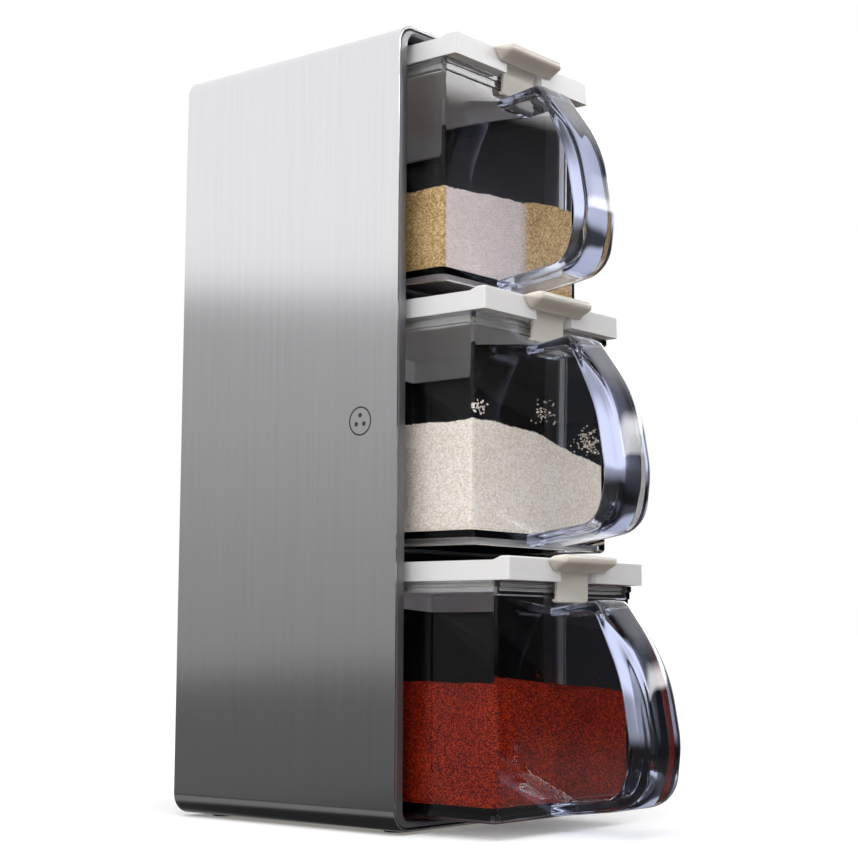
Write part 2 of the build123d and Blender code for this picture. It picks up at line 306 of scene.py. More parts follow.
class Shader(Nodes):
    """One material's node tree, with its Principled shader."""

    def __init__(self, name: str) -> None:
        """Starts a material with one Principled shader."""
        self.material = bpy.data.materials.new(name)
        self.material.use_nodes = True
        super().__init__(self.material.node_tree)
        self.surface = self.tree.nodes["Principled BSDF"]
        self.place = self.node("ShaderNodeTexCoord").outputs["Object"]

    def set(self, **values: object) -> None:
        """Feeds the Principled shader; underscores in a name stand for spaces."""
        for key, value in values.items():
            self.feed(self.surface.inputs[key.replace("_", " ")], value)

    def stretched(self, scale: tuple[float, float, float]) -> bpy.types.NodeSocket:
        """The object coordinates, scaled along each axis."""
        return self.node("ShaderNodeMapping", {"Vector": self.place, "Scale": scale}).outputs[0]

    def noise(self, scale: float, detail: float = 3.0, vector: object = None) -> bpy.types.NodeSocket:
        """A noise field between 0 and 1."""
        source = self.place if vector is None else vector
        made = self.node("ShaderNodeTexNoise", {"Vector": source, "Scale": scale, "Detail": detail})
        return made.outputs["Fac"]

    def ramp(self, field: object, stops: Sequence[tuple[float, Colour]]) -> bpy.types.NodeSocket:
        """A colour ramp over a field."""
        made = self.node("ShaderNodeValToRGB", {"Fac": field})
        bar = made.color_ramp
        while len(bar.elements) < len(stops):
            bar.elements.new(0.5)
        for element, (position, colour) in zip(bar.elements, stops):
            element.position = position
            element.color = (*colour, 1.0)
        return made.outputs["Color"]

    def mix(self, share: object, first: object, second: object) -> bpy.types.NodeSocket:
        """Mixes two colours by a field."""
        made = self.node("ShaderNodeMix", {0: share, 6: first, 7: second}, data_type="RGBA")
        return made.outputs[2]

    def span(self, field: object, low: float, high: float) -> bpy.types.NodeSocket:
        """Maps a field from 0..1 to low..high."""
        return self.node("ShaderNodeMapRange", {0: field, 3: low, 4: high}).outputs[0]

    def bump(self, height: object, strength: float, distance: float) -> None:
        """Feeds the shader's normal from a height field, its distance in metres."""
        made = self.node("ShaderNodeBump", {"Height": height, "Strength": strength, "Distance": distance})
        self.feed(self.surface.inputs["Normal"], made.outputs[0])


class Sky(Nodes):
    """The world's node tree, with fields of the direction that a ray leaves in."""

    def __init__(self) -> None:
        """Starts an empty world."""
        world = bpy.data.worlds.new("studio")
        bpy.context.scene.world = world
        world.use_nodes = True
        world.cycles.sampling_method = "NONE"
        super().__init__(world.node_tree)
        self.tree.nodes.clear()
        self.x, self.y, self.z = self.axes(self.node("ShaderNodeTexCoord").outputs["Generated"])
        self.path = self.node("ShaderNodeLightPath").outputs

    def step(self, field: object, low: float, high: float) -> bpy.types.NodeSocket:
        """A smooth step of a field, from 0 at low to 1 at high."""
        inputs = {0: field, 1: low, 2: high}
        return self.node("ShaderNodeMapRange", inputs, interpolation_type="SMOOTHSTEP").outputs[0]

    def band(self, field: object, rise: Point2, fall: Point2) -> bpy.types.NodeSocket:
        """A field that is 1 between two limits and 0 outside them.

        Args:
            field: The field to look at.
            rise: Where it starts and ends to rise.
            fall: Where it starts and ends to fall.

        Returns:
            The band's output.
        """
        return self.math("SUBTRACT", self.step(field, *rise), self.step(field, *fall))

    def against(self, field: object) -> bpy.types.NodeSocket:
        """The field with its sign turned."""
        return self.times(field, -1.0)

    def layer(self, strength: object, colour: Colour) -> bpy.types.NodeSocket:
        """A background of one colour and a driven or fixed strength."""
        return self.node("ShaderNodeBackground", {0: (*colour, 1.0), 1: strength}).outputs[0]

    def choose(self, factor: object, first: object, second: object) -> bpy.types.NodeSocket:
        """Mixes two backgrounds."""
        return self.node("ShaderNodeMixShader", {0: factor, 1: first, 2: second}).outputs[0]


# ---------------------------------------------------------------- finishes
@dataclass(frozen=True)
class BrushedSteel:
    """Vertically brushed stainless sheet with a small etched ring mark on its left side."""

    colour: Colour = (0.64, 0.64, 0.645)
    mark_y: float = -0.0397
    mark_z: float = 0.151
    mark_radius: float = 0.0052
    line: float = 0.00032
    dots: int = 3
    dot_reach: float = 0.0022
    dot_radius: float = 0.0009
    mark_side: float = -0.0535
    etch: tuple[float, ...] = (0.13, 0.12, 0.12, 1.0)

    def etched(self, shader: Shader) -> bpy.types.NodeSocket:
        """Builds the mask of the etched mark: a thin ring round three dots."""
        place = shader.axes(shader.place)
        y = shader.math("SUBTRACT", place[1], self.mark_y)
        z = shader.math("SUBTRACT", place[2], self.mark_z)

        def reach(dy: float, dz: float) -> bpy.types.NodeSocket:
            """Distance from a point of the mark."""
            across = shader.math("POWER", shader.math("SUBTRACT", y, dy), 2.0)
            up = shader.math("POWER", shader.math("SUBTRACT", z, dz), 2.0)
            return shader.math("SQRT", shader.total(across, up))

        band = shader.math("ABSOLUTE", shader.math("SUBTRACT", reach(0.0, 0.0), self.mark_radius))
        mask = shader.math("LESS_THAN", band, self.line)
        for dot in range(self.dots):
            angle = math.radians(90.0 + 360.0 * dot / self.dots)
            spot = reach(self.dot_reach * math.cos(angle), self.dot_reach * math.sin(angle))
            mask = shader.math("MAXIMUM", mask, shader.math("LESS_THAN", spot, self.dot_radius))
        return shader.times(mask, shader.math("LESS_THAN", place[0], self.mark_side))

    def make(self) -> bpy.types.Material:
        """Returns the material."""
        shader = Shader("brushed_steel")
        fine = shader.noise(1.0, 4.0, shader.stretched((5200.0, 5200.0, 26.0)))
        broad = shader.noise(1.0, 3.0, shader.stretched((420.0, 420.0, 6.0)))
        mixed = shader.total(shader.times(fine, 0.65), shader.times(broad, 0.35))
        mask = self.etched(shader)
        dull, bright = (tuple(share * c for c in self.colour) for share in (0.93, 1.05))
        steel = shader.ramp(mixed, [(0.25, dull), (0.75, bright)])
        rough = shader.math("MAXIMUM", shader.span(mixed, 0.13, 0.19), shader.times(mask, 0.5))
        shader.set(Base_Color=shader.mix(mask, steel, self.etch), Metallic=1.0, Roughness=rough)
        shader.set(Anisotropic=0.93, Anisotropic_Rotation=0.0)
        tangent = shader.node("ShaderNodeTangent", direction_type="RADIAL", axis="Z")
        shader.feed(shader.surface.inputs["Tangent"], tangent.outputs[0])
        shader.bump(mixed, 0.10, 0.00006)
        return shader.material


@dataclass(frozen=True)
class Moulded:
    """An opaque moulded plastic or a satin metal with a faint texture of its own."""

    name: str
    colour: Colour
    roughness: float
    metallic: float = 0.0
    mottling: float = 0.05
    texture_scale: float = 900.0
    texture_depth: float = 0.00002
    glow: float = 0.0

    def make(self) -> bpy.types.Material:
        """Returns the material."""
        shader = Shader(self.name)
        cloud = shader.noise(60.0, 4.0)
        grain = shader.noise(self.texture_scale, 2.0)
        low = tuple(c * (1.0 - self.mottling) for c in self.colour)
        high = tuple(min(1.0, c * (1.0 + self.mottling)) for c in self.colour)
        shader.set(Base_Color=shader.ramp(cloud, [(0.3, low), (0.7, high)]), Metallic=self.metallic)
        shader.set(Roughness=shader.span(grain, 0.85 * self.roughness, 1.15 * self.roughness))
        if self.glow:
            shader.set(Subsurface_Weight=self.glow, Subsurface_Radius=(1.0, 0.8, 0.5), Subsurface_Scale=0.002)
        shader.bump(grain, 0.25, self.texture_depth)
        return shader.material


@dataclass(frozen=True)
class ClearPlastic:
    """Clear moulded styrene with faint flow lines."""

    name: str = "clear_plastic"
    colour: Colour = (0.93, 0.945, 0.985)
    index: float = 1.5

    def make(self) -> bpy.types.Material:
        """Returns the material."""
        shader = Shader(self.name)
        flow = shader.noise(38.0, 1.0, shader.stretched((1.0, 1.0, 0.35)))
        shader.set(Base_Color=(*self.colour, 1.0), Transmission_Weight=1.0, IOR=self.index)
        shader.set(Roughness=shader.span(shader.noise(700.0, 2.0), 0.0, 0.02))
        shader.bump(flow, 0.06, 0.0004)
        return shader.material


@dataclass(frozen=True)
class Seasoning:
    """A heap of small grains, coloured cell by cell."""

    name: str
    shades: tuple[Colour, Colour, Colour]
    grain: float
    roughness: float = 0.6
    depth: float = 0.0003
    glow: float = 0.0
    sheen: float = 0.08
    patch: tuple[float, float] | None = None
    patch_tint: Colour = (0.93, 0.81, 0.77)

    def make(self) -> bpy.types.Material:
        """Returns the material."""
        shader = Shader(self.name)
        cells = shader.node(
            "ShaderNodeTexVoronoi", {"Vector": shader.place, "Scale": 1.0 / self.grain}, feature="F1"
        )
        pick = shader.node("ShaderNodeSeparateColor", {0: cells.outputs["Color"]}).outputs[0]
        cloud = shader.noise(90.0, 4.0)
        blend = shader.total(shader.times(pick, 0.7), shader.times(cloud, 0.3))
        dark, middle, light = self.shades
        colour = shader.ramp(blend, [(0.18, dark), (0.5, middle), (0.85, light)])
        if self.patch:
            colour = self.paler(shader, colour, pick)
        shader.set(Base_Color=colour)
        shader.set(Roughness=shader.span(pick, 0.8 * self.roughness, self.roughness))
        shader.set(Specular_IOR_Level=self.sheen)
        if self.glow:
            shader.set(Subsurface_Weight=self.glow, Subsurface_Scale=0.001)
            shader.set(Subsurface_Radius=(1.0, 0.95, 0.8))
        lumps = shader.math("SUBTRACT", 1.0, cells.outputs["Distance"])
        shader.bump(lumps, 0.9, self.depth)
        return shader.material

    def paler(self, shader: Shader, colour: object, pick: object) -> bpy.types.NodeSocket:
        """Mixes in a paler batch of grains between two places across the heap.

        Args:
            shader: The seasoning's shader.
            colour: The colour to start from.
            pick: The random value of each grain.

        Returns:
            The mixed colour.
        """
        across = shader.axes(shader.place)[0]
        start, end = self.patch
        rise = shader.node("ShaderNodeMapRange", {0: across, 1: start, 2: start + 0.0006})
        fall = shader.node("ShaderNodeMapRange", {0: across, 1: end, 2: end + 0.006, 3: 1.0, 4: 0.0})
        share = shader.times(rise.outputs[0], fall.outputs[0])
        share = shader.times(share, shader.span(pick, 0.72, 1.0))
        dim = tuple(0.86 * c for c in self.patch_tint)
        pale = shader.ramp(shader.noise(1500.0, 2.0), [(0.35, dim), (0.65, self.patch_tint)])
        return shader.mix(share, colour, pale)


# ---------------------------------------------------------------- rack
@dataclass
class Rack:
    """The steel sleeve, its trim and its black inside."""

    steel: bpy.types.Material
    rim: bpy.types.Material
    black: bpy.types.Material
    bright: bpy.types.Material
    rubber: bpy.types.Material
    sheet: float = 1.0 * MM
    corner: float = 8.0 * MM
    seam: float = 0.25 * MM
    rim_side: float = 5.8 * MM
    rim_top: float = 3.0 * MM
    rim_foot: float = 3.4 * MM
    rim_corner: float = 4.8 * MM
    rim_edge: float = 0.7 * MM
    rim_slope: float = 0.9 * MM
    edge: float = 0.45 * MM
    edge_steps: int = 5

    def hoop(self, half_w: float, low: float, high: float, radius: float, y: float) -> list:
        """One rounded rectangle across the sleeve.

        Args:
            half_w: Half its width.
            low: Its lower side.
            high: Its upper side.
            radius: Its corner radius.
            y: Its depth.

        Returns:
            Its points.
        """
        return [(x, y, z) for x, z in corner_points(half_w, low, high, radius, 12)]

    def sleeve(self) -> bpy.types.Object:
        """Builds the folded steel sleeve with softened front and back edges."""
        low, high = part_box("sleeve")
        rings = []
        for end, sign in ((low[1], 1.0), (high[1], -1.0)):
            arc = []
            for step in range(self.edge_steps + 1):
                angle = math.radians(90.0 * step / self.edge_steps)
                depth = end + sign * self.edge * (1.0 - math.cos(angle))
                arc.append((self.edge * (1.0 - math.sin(angle)), depth))
            profile = arc[::-1] + [(self.sheet - inset, y) for inset, y in arc]
            if sign < 0:
                profile.reverse()
            for inset, y in profile:
                radius = self.corner - inset
                rings.append(self.hoop(high[0] - inset, low[2] + inset, high[2] - inset, radius, y))
        skin = Skin()
        skin.loft(rings, closed=True)
        piece = skin.build("steel_sleeve", 50.0)
        piece.data.materials.append(self.steel)
        return stand_in(piece, "rack", "brushed_steel", "sleeve")

    def trim(self) -> bpy.types.Object:
        """Builds the trim frame: a rounded outer edge, a flat band and an inner slope."""
        low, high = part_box("front_rim")
        shell_low, shell_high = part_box("sleeve")
        outer_r = self.corner - self.sheet - self.seam
        inner_x = shell_high[0] - self.rim_side
        inner_low = shell_low[2] + self.rim_foot
        inner_high = shell_high[2] - self.rim_top
        rings = []

        def outside(inset: float, y: float) -> None:
            """A hoop drawn in from the trim's outside."""
            rings.append(self.hoop(high[0] - inset, low[2] + inset, high[2] - inset, outer_r - inset, y))

        def inside(grow: float, y: float) -> None:
            """A hoop let out from the trim's opening."""
            radius = self.rim_corner + grow
            rings.append(self.hoop(inner_x + grow, inner_low - grow, inner_high + grow, radius, y))

        front, back = low[1], high[1]
        outside(0.0, back)
        for angle in (0.0, math.pi / 8, math.pi / 4, 3 * math.pi / 8, math.pi / 2):
            outside(self.rim_edge * (1 - math.cos(angle)), front + self.rim_edge * (1 - math.sin(angle)))
        inside(self.rim_slope, front)
        inside(self.rim_slope - 0.25 * MM, front + 0.06 * MM)
        inside(0.0, front + self.rim_slope)
        inside(0.0, back)
        skin = Skin()
        skin.loft(rings, closed=True)
        piece = skin.build("trim_frame", 35.0)
        piece.data.materials.append(self.rim)
        return stand_in(piece, "rack", "rim_grey", "front_rim")

    def dress_inside(self) -> None:
        """Gives the lining, shelves, panel, screws and pads their finishes."""
        finishes = {
            self.black: (
                "left_lining", "right_lining", "ceiling_lining", "floor_lining",
                "upper_shelf", "lower_shelf", "back_panel",
            ),
            self.bright: ("back_screws",),
            self.rubber: ("foot_pads",),
        }  # fmt: skip
        for material, nodes in finishes.items():
            for node in nodes:
                dress(node, material)

    def build(self) -> None:
        """Builds the whole rack."""
        self.sleeve()
        self.trim()
        self.dress_inside()


# ---------------------------------------------------------------- boxes
# Outlines in millimetres. The handle's corners are (distance in front of the tub, height above
# its foot, corner radius), and the leg's are (behind the lid's front, above the tub's mouth).
HANDLE_OUTSIDE = (
    (0.0, 76.2, 0.0), (19.4, 79.2, 3.2), (37.4, 55.2, 58.0), (42.0, 28.0, 40.0),
    (39.6, 6.4, 13.0), (22.0, 3.2, 30.0), (0.0, 0.4, 0.0),
)  # fmt: skip
HANDLE_INSIDE = (
    (0.0, 72.9, 0.0), (20.2, 74.2, 4.0), (31.0, 50.5, 60.0), (35.4, 24.0, 26.0),
    (30.0, 9.2, 9.0), (0.0, 5.4, 0.0),
)  # fmt: skip
# The corners of the two outlines that lie across from each other, and the points per stretch.
HANDLE_BENDS = (1, 4)
HANDLE_COUNTS = (16, 64, 22)
# The latch's tab as (how far out, height where the tab has faded, rise from there) rows.
HOOD = (
    (0.0, 8.3, 1.3), (2.5, 8.32, 1.5), (4.7, 8.34, 1.62), (5.3, 8.28, 1.5), (5.6, 8.15, 1.2),
    (5.65, 8.0, 0.4), (5.6, 7.95, -0.45), (5.4, 7.9, -0.75), (5.0, 7.85, -1.1), (3.9, 7.75, -1.65),
    (2.6, 7.6, -2.1), (1.3, 7.5, -2.7), (0.5, 7.45, -3.2), (0.0, 7.4, -3.6),
)  # fmt: skip
LEG = (
    (-0.6, 9.0), (-0.8, 5.0), (0.6, 4.6), (1.8, 4.0), (2.5, 3.1), (2.8, 2.0), (2.9, 0.5), (2.9, -6.5),
    (3.1, -7.1), (3.7, -7.5), (4.6, -7.3), (5.2, -6.9), (5.35, -6.45), (4.1, -6.45), (4.1, 2.9),
    (3.0, 3.6), (2.0, 4.7), (1.7, 5.8), (2.2, 6.9), (3.4, 7.6), (3.4, 8.3),
)  # fmt: skip
# How much of the full bow each box's handle has.
BOWS = {Tier.TOP: 0.0, Tier.MIDDLE: 0.5, Tier.BOTTOM: 1.0}


@dataclass(frozen=True)
class BoxFinishes:
    """The materials of one box."""

    clear: bpy.types.Material
    # The handle's plastic: darker and bluer than the tubs, partly its own tint and partly painted navy shade
    # for the dark studio seen in it.
    grip_with_painted_shade: bpy.types.Material
    white: bpy.types.Material
    latch: bpy.types.Material
    silicone: bpy.types.Material
    pin: bpy.types.Material


@dataclass
class Box:
    """One clear pull-out box with its handle, lid and latch. Sizes are in metres."""

    tier: Tier
    finishes: BoxFinishes
    tub_w: float = 85.9 * MM
    tub_l: float = 100.0 * MM
    setback: float = 5.74 * MM
    height: float = 85.25 * MM
    wall: float = 1.5 * MM
    floor_top: float = 5.5 * MM
    flange: float = 5.0 * MM
    flange_step: float = 2.4 * MM
    tub_round: float = 1.6 * MM
    foot_inset: float = 1.2 * MM
    handle_w: float = 20.3 * MM
    handle_fullness: float = 5.0
    bow_out: float = 0.06
    bow_in: float = 0.07
    hood_half: float = 20.5 * MM
    hood_fade: float = 5.0 * MM
    hood_back: float = 0.65 * MM
    hood_steps: int = 48
    latch_lift: float = 0.1 * MM
    leg_half: float = 9.9 * MM
    hub_wall: float = 0.75 * MM
    ear_inner: float = 12.3 * MM
    ear_outer: float = 24.0 * MM
    knuckle: float = 2.8 * MM
    knuckle_back: float = 3.46 * MM
    knuckle_up: float = 0.7 * MM

    def __post_init__(self) -> None:
        """Takes the box's place from the frame."""
        self.name = self.tier.value
        self.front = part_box(f"{self.name}_lid")[0][1]
        self.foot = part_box(f"{self.name}_tub")[0][2]
        self.tub_front = self.front + self.setback
        self.mouth = self.foot + self.height
        self.body = f"{self.name}_box"

    def tub_levels(self) -> list[tuple[float, float, float, float, float, float]]:
        """Lists the tub's levels from under its floor, round its rim and down inside.

        Returns:
            (sideways, ahead, behind, corner radius, base height, rise above it) rows. All but
            the base height are in millimetres, and the first three let the walls out.
        """
        foot, mouth = self.foot, self.mouth
        full, thick = self.tub_round / MM, self.wall / MM
        recess = -(thick + self.foot_inset / MM)
        levels = [
            (recess, recess, recess, 2.0, foot, 3.0),
            (recess, recess, recess, 2.0, foot, 0.3),
            (recess + 0.3, recess + 0.3, recess + 0.3, 2.1, foot, 0.0),
        ]
        for inset, up in ((1.5, 0.0), (1.1, 0.12), (0.55, 0.5), (0.2, 1.0), (0.0, 1.6)):
            levels.append((-inset, -inset, -inset, full - 0.2 * inset, foot, up))
        band, step = -self.flange / MM, -self.flange_step / MM
        levels += [
            (0.0, 0.0, 0.0, full, mouth, band - 0.3),
            (0.12, 0.4, 0.0, full, mouth, band - 0.05),
            (0.2, 0.65, 0.0, full, mouth, band + 0.2),
            (0.2, 0.65, 0.0, full, mouth, step - 0.12),
            (0.3, 0.9, 0.2, full + 0.1, mouth, step),
            (0.4, 1.3, 0.4, full + 0.1, mouth, step + 0.25),
            (0.4, 1.3, 0.4, full + 0.1, mouth, -0.3),
            (0.1, 1.0, 0.1, full, mouth, 0.0),
        ]
        for inset, down in ((thick - 0.4, 0.0), (thick - 0.1, 0.1), (thick, 0.45)):
            levels.append((-inset, -inset, -inset, 1.0, mouth, -down))
        inner_floor = foot + self.floor_top
        for inset, up in ((0.0, 1.6), (0.12, 0.9), (0.5, 0.35), (1.2, 0.06), (2.0, 0.0)):
            levels.append((-thick - inset, -thick - inset, -thick - inset, 1.0, inner_floor, up))
        return levels

    def tub(self) -> bpy.types.Object:
        """Builds the tub as one closed skin, with its hinge ears."""
        rings = []
        for side, ahead, behind, radius, base, up in self.tub_levels():
            points = corner_points(
                self.tub_w / 2 + side * MM,
                self.tub_front - ahead * MM,
                self.tub_front + self.tub_l + behind * MM,
                radius * MM,
            )
            rings.append([(x, y, base + up * MM) for x, y in points])
        skin = Skin()
        skin.loft(rings)
        self.ears(skin)
        piece = skin.build(f"{self.name}_clear_tub", 38.0)
        piece.data.materials.append(self.finishes.clear)
        return stand_in(piece, self.body, "clear_plastic", f"{self.name}_tub")

    def ears(self, skin: Skin) -> None:
        """Adds the two hinge ears behind the tub's flange."""
        rear = self.tub_front + self.tub_l
        y, z = rear + self.knuckle_back, self.mouth + self.knuckle_up
        root = rear + 0.45 * MM
        outline = [(root, self.mouth - 0.1 * MM), (root, self.mouth - 4.9 * MM)]
        for step in range(13):
            angle = math.radians(-100.0 + 240.0 * step / 12)
            outline.append((y + self.knuckle * math.cos(angle), z + self.knuckle * math.sin(angle)))
        for x0, x1 in ((-self.ear_outer, -self.ear_inner), (self.ear_inner, self.ear_outer)):
            skin.prism(outline, x0, x1, 0.15 * MM)

    def handle_run(self, corners: Sequence[tuple[float, float, float]]) -> np.ndarray:
        """Spreads points along one outline of the handle, stretch by stretch.

        Args:
            corners: HANDLE_OUTSIDE or HANDLE_INSIDE.

        Returns:
            (distance in front of the tub, height) rows in metres.
        """
        run = np.array(rounded_run(corners, 0.6))
        cuts = [0]
        for bend in HANDLE_BENDS:
            cuts.append(int(np.argmin(np.linalg.norm(run - np.array(corners[bend][:2]), axis=1))))
        cuts.append(len(run) - 1)
        parts = []
        for first, last, count in zip(cuts, cuts[1:], HANDLE_COUNTS):
            part = even_points(run[first : last + 1], count)
            parts.append(part if not parts else part[1:])
        return np.concatenate(parts) * MM

    def crowned_section(self, count: int = 60) -> np.ndarray:
        """The handle's section in a unit square: full corners and slightly crowned faces."""
        angles = np.linspace(0.0, math.tau, 2881)
        power = 2.0 / self.handle_fullness
        across = np.sign(np.cos(angles)) * np.abs(np.cos(angles)) ** power
        through = np.sign(np.sin(angles)) * np.abs(np.sin(angles)) ** power
        return even_points(list(zip(across, through)), count + 1)[:-1]

    def handle(self) -> bpy.types.Object:
        """Builds the D handle as a band with crowned faces."""
        bow = BOWS[self.tier]
        outside = self.handle_run(HANDLE_OUTSIDE) * (1.0 + self.bow_out * bow, 1.0)
        inside = self.handle_run(HANDLE_INSIDE) * (1.0 - self.bow_in * bow, 1.0)
        root = self.tub_front - 0.03 * MM
        rings = []
        section = self.crowned_section()
        for outer, inner in zip(outside, inside):
            middle, reach = (outer + inner) / 2, (outer - inner) / 2
            ring = []
            for across, through in section:
                out, up = middle + reach * through
                ring.append((across * self.handle_w / 2, root - out, self.foot + up))
            rings.append(ring)
        skin = Skin()
        skin.loft(rings)
        piece = skin.build(f"{self.name}_clear_handle", 60.0)
        piece.data.materials.append(self.finishes.grip_with_painted_shade)
        return stand_in(piece, self.body, "clear_plastic", f"{self.name}_handle")

    def from_lid(self, back: float, up: float) -> Point2:
        """A (y, z) point from millimetres behind the lid's front and above the tub's mouth."""
        return self.front + back * MM, self.mouth + self.latch_lift + up * MM

    def hood_section(self, x: float) -> list:
        """One section of the latch's tab, which fades into the lid's ridge at both ends.

        Args:
            x: Distance from the middle.

        Returns:
            A closed ring of points at x.
        """
        share = min(1.0, max(0.0, (self.hood_half - abs(x)) / self.hood_fade))
        full = share * share * (3.0 - 2.0 * share)
        ring = []
        for out, height, rise in HOOD:
            y, z = self.from_lid(-out * full, height + rise * full)
            ring.append((x, y - self.hood_back, z))
        return ring

    def hub(self, skin: Skin) -> None:
        """Adds the tube that turns on the latch's pin."""
        low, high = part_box(f"{self.name}_latch_pin")
        axis_y, axis_z = (low[1] + high[1]) / 2, (low[2] + high[2]) / 2
        bore = (high[2] - low[2]) / 2 + 0.15 * MM
        rim = bore + self.hub_wall
        half = self.leg_half
        rings = []
        for x, radius in ((-half, bore), (-half, rim), (half, rim), (half, bore)):
            ring = []
            for step in range(24):
                angle = math.tau * step / 24
                ring.append((x, axis_y + radius * math.cos(angle), axis_z + radius * math.sin(angle)))
            rings.append(ring)
        skin.loft(rings, closed=True)

    def latch(self) -> bpy.types.Object:
        """Builds the latch: a tab that fades into the ridge, a leg, a barb and a hub."""
        skin = Skin()
        reach = self.hood_half - 0.05 * MM
        places = [-reach + 2 * reach * i / self.hood_steps for i in range(self.hood_steps + 1)]
        skin.loft([self.hood_section(x) for x in places])
        skin.prism([self.from_lid(*point) for point in LEG], -self.leg_half, self.leg_half, 0.35 * MM)
        self.hub(skin)
        piece = skin.build(f"{self.name}_latch_lever", 32.0)
        piece.data.materials.append(self.finishes.latch)
        return stand_in(piece, f"{self.name}_lever", "latch_plastic", f"{self.name}_latch")

    def dress_cover(self) -> None:
        """Gives the lid, seal and pins their finishes."""
        dress(f"{self.name}_lid", self.finishes.white)
        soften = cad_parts[f"{self.name}_lid"].modifiers.new("soft edges", "BEVEL")
        soften.width = 0.4 * MM
        soften.segments = 3
        soften.angle_limit = math.radians(50.0)
        dress(f"{self.name}_lid_seal", self.finishes.silicone)
        dress(f"{self.name}_latch_pin", self.finishes.pin)
        dress(f"{self.name}_hinge_pin", self.finishes.pin)

    def build(self) -> None:
        """Builds the whole box, apart from its contents."""
        self.tub()
        self.handle()
        self.latch()
        self.dress_cover()


# ---------------------------------------------------------------- contents
@dataclass
class Heap:
    """The seasoning in one box: a lumpy body, loose grains on top and some on the wall.

    The crest lists (x, height) in millimetres across the box, and each stuck cluster is
    (x, height, spread, count), also in millimetres.
    """

    box: Box
    material: bpy.types.Material
    slot: str
    size: float
    crest: tuple[Point2, ...]
    roughness: float
    stuck: tuple[tuple[float, float, float, int], ...]
    seed: int
    loose: int = 2600
    gap: float = 0.3 * MM
    columns: int = 96
    rows: int = 60

    def height(self, x: np.ndarray, y: np.ndarray) -> np.ndarray:
        """Height of the heap's top, with soft waves.

        Args:
            x: Places across the box.
            y: Places along the box.

        Returns:
            Heights above the tub's foot, as many as there are places.
        """
        xs = np.array([point[0] for point in self.crest]) * MM
        hs = np.array([point[1] for point in self.crest]) * MM
        base = np.interp(x, xs, hs)
        # three wave trains with lengths of about 33, 14 and 18 mm
        waves = (
            0.5 * np.sin(x * 190.0 + self.seed)
            + 0.35 * np.sin(x * 430.0 + y * 160.0 + 2.0 * self.seed)
            + 0.3 * np.sin(y * 330.0 - x * 90.0)
        )
        return base + waves * self.roughness

    def bed(self, rng: np.random.Generator) -> Skin:
        """Builds the heap's body: a fine grid on top, straight sides and a flat bottom."""
        box = self.box
        half = box.tub_w / 2 - box.wall - self.gap
        y0 = box.tub_front + box.wall + self.gap
        y1 = box.tub_front + box.tub_l - box.wall - self.gap
        columns, rows = self.columns, self.rows
        xs = np.linspace(-half, half, columns)
        ys = y0 + (y1 - y0) * np.linspace(0.0, 1.0, rows) ** 1.35
        grid_x, grid_y = np.meshgrid(xs, ys)
        heights = self.height(grid_x, grid_y) + rng.normal(0.0, 0.28 * self.size, grid_x.shape)
        top = box.foot + heights
        bottom = box.foot + box.floor_top + 0.15 * MM
        skin = Skin()
        verts = np.stack([grid_x, grid_y, top], axis=-1).reshape(-1, 3)
        numbers = np.array(skin.ring(verts)).reshape(rows, columns)
        for row in range(rows - 1):
            for column in range(columns - 1):
                near, far = numbers[row, column : column + 2], numbers[row + 1, column : column + 2]
                skin.faces.append((int(near[0]), int(near[1]), int(far[1]), int(far[0])))
        edge = np.concatenate([numbers[0, :], numbers[1:, -1], numbers[-1, -2::-1], numbers[-2:0:-1, 0]])
        foot_ring = skin.ring([(*verts[number][:2], bottom) for number in edge])
        skin.bridge(foot_ring, [int(number) for number in edge])
        skin.faces.append(tuple(reversed(foot_ring)))
        return skin

    def add_grain(self, skin: Skin, rng: np.random.Generator, place: np.ndarray, size: float) -> None:
        """Adds one small irregular eight-sided grain.

        Args:
            skin: The heap's skin.
            rng: The heap's random numbers.
            place: The grain's centre.
            size: Its rough radius.
        """
        stretch = size * rng.uniform(0.7, 1.25, 3)
        corners = np.array([(1, 0, 0), (0, 1, 0), (-1, 0, 0), (0, -1, 0), (0, 0, 1), (0, 0, -1)], float)
        corners = corners * stretch + rng.normal(0.0, 0.12 * size, (6, 3))
        turn = np.array(Matrix.Rotation(rng.uniform(0, 3.1), 3, Vector(rng.normal(size=3)).normalized()))
        numbers = skin.ring((corners @ turn.T) + place)
        for i in range(4):
            j = (i + 1) % 4
            skin.faces.append((numbers[i], numbers[j], numbers[4]))
            skin.faces.append((numbers[j], numbers[i], numbers[5]))

    def scatter(self, skin: Skin, rng: np.random.Generator) -> None:
        """Adds the loose grains on the top and the ones stuck to the front wall."""
        box = self.box
        half = box.tub_w / 2 - box.wall - self.gap - self.size
        y0 = box.tub_front + box.wall + self.gap + self.size
        length = box.tub_l - 2 * box.wall - 2 * self.gap - 2 * self.size
        for _ in range(self.loose):
            x = rng.uniform(-half, half)
            y = y0 + length * rng.uniform(0.0, 1.0) ** 2.5
            if rng.uniform() < 0.35:
                x = -half + (half + x) * 0.04
                y = y0 + length * rng.uniform(0.0, 0.5)
            z = box.foot + float(self.height(np.array(x), np.array(y))) + rng.uniform(-0.2, 0.6) * self.size
            self.add_grain(skin, rng, np.array([x, y, z]), self.size * rng.uniform(0.45, 0.75))
        for centre_x, centre_z, spread, count in self.stuck:
            for _ in range(count):
                x = centre_x * MM + rng.normal(0.0, spread * MM)
                z = box.foot + centre_z * MM + rng.normal(0.0, 0.55 * spread * MM)
                z = max(z, box.foot + float(self.height(np.array(x), np.array(y0))))
                if abs(x) < half:
                    place = np.array([x, y0 - 0.4 * self.size, z])
                    self.add_grain(skin, rng, place, self.size * rng.uniform(0.4, 0.7))

